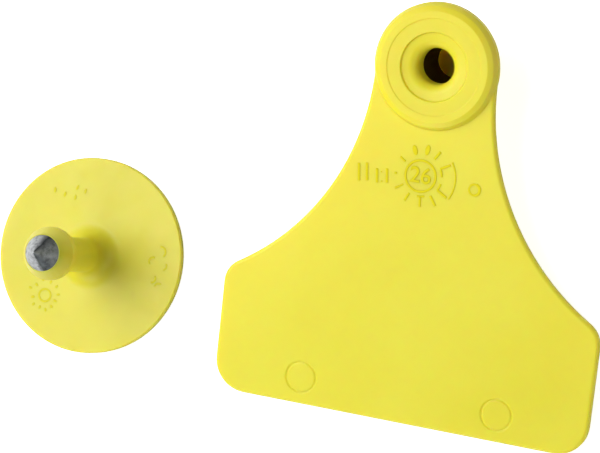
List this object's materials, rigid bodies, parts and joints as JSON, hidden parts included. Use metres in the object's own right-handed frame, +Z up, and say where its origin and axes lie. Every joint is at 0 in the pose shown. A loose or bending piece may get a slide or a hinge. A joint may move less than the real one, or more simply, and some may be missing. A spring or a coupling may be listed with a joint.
{
  "type": "livestock ear tag",
  "caption": "Two-piece yellow ear tag laid apart: a stud button with a metal point, and a tag panel whose boss and closed cap lock onto the stud.",
  "frame": {"origin": "centre of the button's back face, which lies on the surface, on the stud's axis", "axes": "+Z up along the stem, +X towards the tag panel, +Y towards the panel's hole end"},
  "size_m": [0.0885, 0.0613, 0.0212],
  "materials": {
    "tag_plastic": "satin moulded polyurethane, faintly pearly",
    "stud_plastic": "satin moulded polyurethane, faintly pearly",
    "point_metal": "grey die-cast metal, rough"
  },
  "bodies": {
    "root": {"tag_panel": "tag_plastic", "stud_button": "stud_plastic", "stud_tip": "point_metal"}
  },
  "joints": []
}
